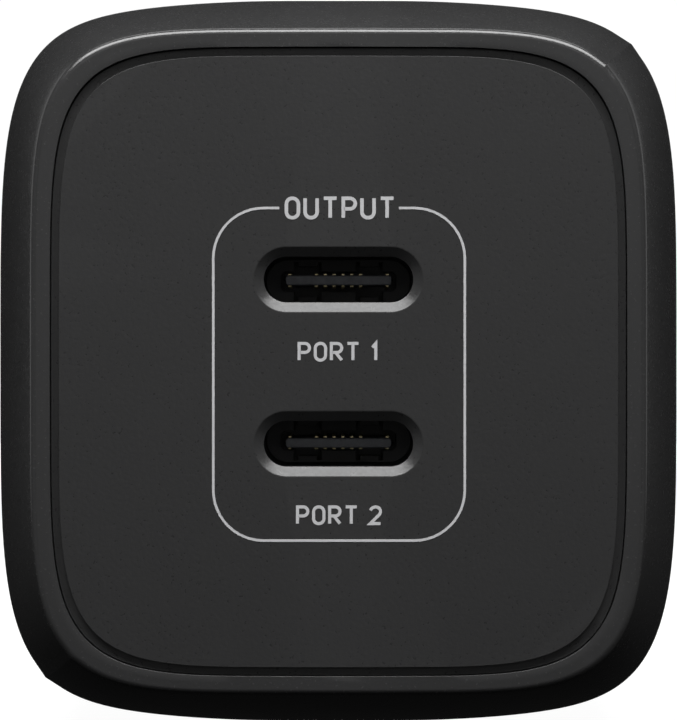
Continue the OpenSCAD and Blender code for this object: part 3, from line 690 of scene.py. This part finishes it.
def build_floor(z, prefix):
    """Floor of the socket: a ring round the well that the tongue stands in, divided by narrow grooves."""
    bm = bmesh.new()
    slack = 0.04
    ring = stadium(PORT_W - slack, PORT_H - slack, 0, z, SOCKET_STEPS)
    half_w, half_h = WELL_W / 2, WELL_H / 2
    corner, groove, reach, notch = 0.2, 0.11, 1.12, half_h + 0.3
    far_x, near_x = 2.44, 1.12
    upper = [(half_w, half_h - corner), (half_w - corner, half_h)]
    for outer_x, inner_x in ((far_x, near_x), (-near_x, -far_x)):
        upper += [(outer_x + groove, half_h), (outer_x + groove, reach), (outer_x - groove, reach),
                  (outer_x - groove, notch), (inner_x + groove, notch), (inner_x + groove, reach),
                  (inner_x - groove, reach), (inner_x - groove, half_h)]
    upper += [(-half_w + corner, half_h), (-half_w, half_h - corner)]
    well = [(x, z + v) for x, v in upper] + [(-x, z - v) for x, v in upper]
    add_plate(bm, ring, FLOOR_Y, FLOOR_Y + WELL_DEPTH, 0.03, holes=[well], steps=1)
    add_plate(bm, ring, FLOOR_Y + WELL_DEPTH + 0.01, OUTPUT_Y, 0.02, steps=1)
    finish_mesh(bm, prefix + "socket_floor", socket_plastic,
                replaces=[prefix + "insulator"])


def build_tongue(z, prefix):
    """Plastic blade that the contacts lie on, with its tip drawn in."""
    bm = bmesh.new()
    half_t, nose = TONGUE_T / 2 - 0.01, 0.25
    levels = [(TIP_Y, nose - 0.04, 0.12), (TIP_Y + 0.04, nose, 0.04), (TIP_Y + 0.3, half_t, 0.0),
              (FLOOR_Y + WELL_DEPTH + 0.02, half_t, 0.0)]
    loops = []
    for y, t, inset in levels:
        shape = rounded_rectangle(TONGUE_W - 2 * inset, 2 * t, min(0.16, t * 0.6), 0, z, 4)
        loops.append([(x, y, v) for x, v in shape])
    rows = add_loops(bm, loops)
    bm.faces.new(rows[0])
    bm.faces.new(rows[-1])
    finish_mesh(bm, prefix + "tongue", tongue_plastic,
                replaces=[prefix + "insulator"], crisp=30)


def build_contacts(z, prefix):
    """Sixteen contacts whose front ends turn down into the tongue."""
    bm = bmesh.new()
    root, face, half_w = 0.24, TONGUE_T / 2 + 0.1, 0.1
    end_y = TIP_Y + 0.6
    upper = [(end_y, root), (OUTPUT_Y, root), (OUTPUT_Y, face), (TIP_Y + 0.74, face),
             (TIP_Y + 0.66, face - 0.01), (end_y, face - 0.05)]
    for x in CONTACT_PLACES:
        for sz in (-1, 1):
            side = [(y, z + sz * v) for y, v in (upper if sz > 0 else reversed(upper))]
            add_plate(bm, side, x - half_w, x + half_w, 0.02, axis="x", steps=1)
    finish_mesh(bm, prefix + "contact_strips", contact_gold, replaces=[prefix + "contacts"])


# ---------------------------------------------------------------- blades

def blade_outline():
    """Side view of a blade about the hinge's axis, pointing down, with its contact nose on top."""
    half = BLADE_W / 2
    nose_half, nose_r, nose_root, nose_steps = 1.2, 4.4, 2.4, 3
    shoulder, point_in, point_up = 0.6, 1.1, 1.3
    corners = [
        (-half, shoulder, 0.0),
        (-half, -BLADE_LEN + point_up, 1.2),
        (-half + point_in, -BLADE_LEN, 0.4),
        (half - point_in, -BLADE_LEN, 0.4),
        (half, -BLADE_LEN + point_up, 1.2),
        (half, shoulder, 0.3),
        (nose_half, nose_root, 0.3),
    ]
    points = rounded_corners(corners, 5)
    lean = math.asin(nose_half / nose_r)
    leans = [lean * (1 - k / nose_steps) for k in range(2 * nose_steps + 1)]
    points += [(nose_r * math.sin(a), nose_r * math.cos(a)) for a in leans]
    points.append((-nose_half, nose_root))
    return [(HINGE_Y + y, HINGE_Z + z) for y, z in points]


def build_blades():
    hole = circle(BLADE_HOLE_R, HINGE_Y, HINGE_Z - HINGE_IN - BLADE_HOLE_AT, 40)
    for name, x in (("left", -BLADE_X), ("right", BLADE_X)):
        bm = bmesh.new()
        add_plate(bm, blade_outline(), x - BLADE_T / 2, x + BLADE_T / 2, 0.2, [hole], "x", 4)
        finish_mesh(bm, f"folding_blade_{name}", blade_nickel, BLADES, [f"blade_{name}"], 50)


# ---------------------------------------------------------------- nodes carried over from the CAD

def dress(node_name, material):
    """Gives a CAD node its material, softened edges and even shading."""
    weld_mm, bevel_mm, crisp = 0.001, 0.08, 30
    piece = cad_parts[node_name]
    piece.data.materials.clear()
    piece.data.materials.append(material)
    weld = piece.modifiers.new("weld", "WELD")
    weld.merge_threshold = weld_mm * MM
    soften = piece.modifiers.new("soften", "BEVEL")
    soften.width = bevel_mm * MM
    soften.segments = 2
    soften.limit_method = "ANGLE"
    soften.angle_limit = math.radians(crisp)
    piece.modifiers.new("even_normals", "WEIGHTED_NORMAL")


def dress_nodes():
    """Materials of the nodes that keep their CAD shape, most of them inside the casing."""
    board = moulded_plastic("board_laminate", (0.012, 0.085, 0.035), 0.35, 0.25, 0.008, 0.25)
    chip = moulded_plastic("chip_plastic", (0.018, 0.018, 0.019), 0.45, 0.06, 0.003)
    ferrite = moulded_plastic("core_ferrite", (0.035, 0.034, 0.036), 0.55, 0.20, 0.010, 0.25)
    finishes = {
        rear_plastic: ["rear_cover"],
        barrel_plastic: ["blade_carrier"],
        moulded_plastic("retainer_plastic", (0.70, 0.70, 0.66), 0.4, 0.12, 0.006, 0.04):
            ["blade_retainer"],
        metal("screw_steel", (0.62, 0.62, 0.63), 0.3, 0.08): ["retainer_screws", "board_screws"],
        metal("spring_bronze", (0.66, 0.42, 0.20), 0.3, 0.1): ["contact_spring_left", "contact_spring_right"],
        socket_steel: ["port_1_mid_plate", "port_2_mid_plate"],
        board: ["output_board", "main_board"],
        metal("pin_metal", (0.72, 0.70, 0.62), 0.35, 0.1): ["board_link_pins", "fuse_caps"],
        metal("spreader_metal", (0.80, 0.80, 0.82), 0.35, 0.3, (1, 10, 1)):
            ["heat_spreader", "switch_heatsink"],
        moulded_plastic("wrap_film", (0.62, 0.42, 0.08), 0.25, 0.6, 0.012, 0.1): ["insulating_wrap"],
        ferrite: ["transformer_core_front", "transformer_core_rear",
                  "output_inductor_1", "output_inductor_2"],
        moulded_plastic("bobbin_plastic", (0.02, 0.02, 0.02), 0.5, 0.1, 0.006): ["transformer_bobbin"],
        moulded_plastic("winding_tape", (0.72, 0.50, 0.04), 0.3, 0.4, 0.02, 0.08): ["transformer_winding"],
        moulded_plastic("capacitor_sleeve", (0.012, 0.016, 0.06), 0.22, 0.5, 0.004, 0.15):
            ["bulk_capacitor_1", "bulk_capacitor_2", "bulk_capacitor_3"],
        moulded_plastic("capacitor_rubber", (0.016, 0.016, 0.016), 0.7, 0.15, 0.01): ["bulk_capacitor_bungs"],
        moulded_plastic("choke_coating", (0.03, 0.12, 0.05), 0.4, 0.3, 0.02, 0.2): ["choke_core"],
        metal("choke_wire", (0.75, 0.33, 0.12), 0.2, 0.1): ["choke_winding"],
        moulded_plastic("film_box", (0.66, 0.46, 0.03), 0.3, 0.15, 0.006, 0.05): ["suppression_capacitor"],
        moulded_plastic("disc_ceramic", (0.03, 0.12, 0.42), 0.35, 0.4, 0.02, 0.1): ["safety_capacitor"],
        moulded_plastic("fuse_ceramic", (0.62, 0.60, 0.52), 0.35, 0.1, 0.004, 0.06): ["fuse"],
        chip: ["bridge_rectifier", "power_switch", "primary_controller",
               "output_rectifier", "protocol_chips"],
        moulded_plastic("pad_silicone", (0.28, 0.36, 0.48), 0.7, 0.2, 0.01): ["thermal_pad"],
        moulded_plastic("opto_plastic", (0.70, 0.70, 0.68), 0.4, 0.08, 0.004, 0.04): ["optocoupler"],
        metal("polymer_can", (0.74, 0.74, 0.76), 0.28, 0.15, (1, 6, 1)): ["output_capacitors"],
    }
    for material, names in finishes.items():
        for name in names:
            dress(name, material)


# ---------------------------------------------------------------- stage, camera and lights

def glowing(name, strength, share):
    """White surface that looks the same from everywhere, apart from a small share of real shading."""
    material, nodes, _ = new_material(name)
    shader = nodes["Principled BSDF"]
    shader.inputs["Base Color"].default_value = (share, share, share, 1)
    shader.inputs["Roughness"].default_value = 0.9
    shader.inputs["Specular IOR Level"].default_value = 0.0
    shader.inputs["Emission Color"].default_value = (1, 1, 1, 1)
    shader.inputs["Emission Strength"].default_value = strength
    return material


def build_stage():
    """White floor and dome, in metres, that the camera sees and the object doesn't."""
    floor_size, dome_radius = 3, 2.9
    floor_bm, dome_bm = bmesh.new(), bmesh.new()
    bmesh.ops.create_grid(floor_bm, x_segments=1, y_segments=1, size=floor_size)
    bmesh.ops.create_uvsphere(dome_bm, u_segments=48, v_segments=24, radius=dome_radius)
    for name, bm, material in (("floor", floor_bm, glowing("floor_paper", 0.97, 0.12)),
                               ("backdrop", dome_bm, glowing("backdrop_white", 1.02, 0.0))):
        obj = mesh_object(bm, name, material)
        obj.visible_diffuse = False
        obj.visible_glossy = False
        obj.visible_transmission = False
        obj.visible_shadow = False


def point_at(obj, place, target):
    """Puts a light or camera at place, looking at target."""
    obj.location = place
    obj.rotation_mode = "QUATERNION"
    obj.rotation_quaternion = (Vector(target) - Vector(place)).to_track_quat("-Z", "Y")


def add_light(name, place, size, power, glossy):
    data = bpy.data.lights.new(name, "AREA")
    data.shape = "RECTANGLE"
    data.size, data.size_y = size
    data.energy = power
    light = add_object(name, data)
    point_at(light, place, (0, 0, MID_Z * MM))
    light.visible_camera = False
    light.visible_glossy = glossy


def build_camera():
    """Straight in front, level, 200 mm from the rim, with the body filling the frame."""
    data = bpy.data.cameras.new("camera")
    data.sensor_width = 36
    data.lens = 179.75
    camera = add_object("camera", data)
    place = Vector((0.0, FRONT - 200, MID_Z + 0.8)) * MM
    aim = Vector((0.0, FRONT + 12, MID_Z + 0.05)) * MM
    point_at(camera, place, aim)
    bpy.context.scene.camera = camera


# Name: (place, size, power in watts, whether it shows in reflections), in metres. All face the body's middle.
LIGHTS = {
    "overhead": ((0, -0.155, 0.30), (0.46, 0.18), 2.6, True),
    "above": ((0, 0.16, 0.36), (0.40, 0.10), 0.3, True),
    "front_top": ((0, -0.60, 0.25), (0.40, 0.20), 0.20, True),
    "front": ((0, -0.60, 0.05), (0.25, 0.15), 0.03, True),
    "left": ((-0.45, -0.35, 0.06), (0.60, 0.50), 0.15, True),
    "right": ((0.45, -0.35, 0.06), (0.60, 0.50), 0.15, True),
    "left_back": ((-0.50, 0.22, 0.20), (0.45, 0.45), 0.35, True),
    "right_back": ((0.50, 0.22, 0.20), (0.45, 0.45), 0.35, True),
    "behind": ((0, 0.60, 0.10), (0.50, 0.30), 2.2, False),
}
ROOM = 0.008


def build_lights():
    for name, settings in LIGHTS.items():
        add_light(name, *settings)
    world = bpy.data.worlds.new("room")
    bpy.context.scene.world = world
    world.use_nodes = True
    background = world.node_tree.nodes["Background"]
    background.inputs["Color"].default_value = (1, 1, 1, 1)
    background.inputs["Strength"].default_value = ROOM


build_sleeve()
build_panel()
build_ink()
for number, height in PORT_Z.items():
    for build in (build_shell, build_floor, build_tongue, build_contacts):
        build(height, f"port_{number}_")
build_blades()
dress_nodes()
build_stage()
build_camera()
build_lights()
bpy.context.scene.view_settings.view_transform = "Standard"
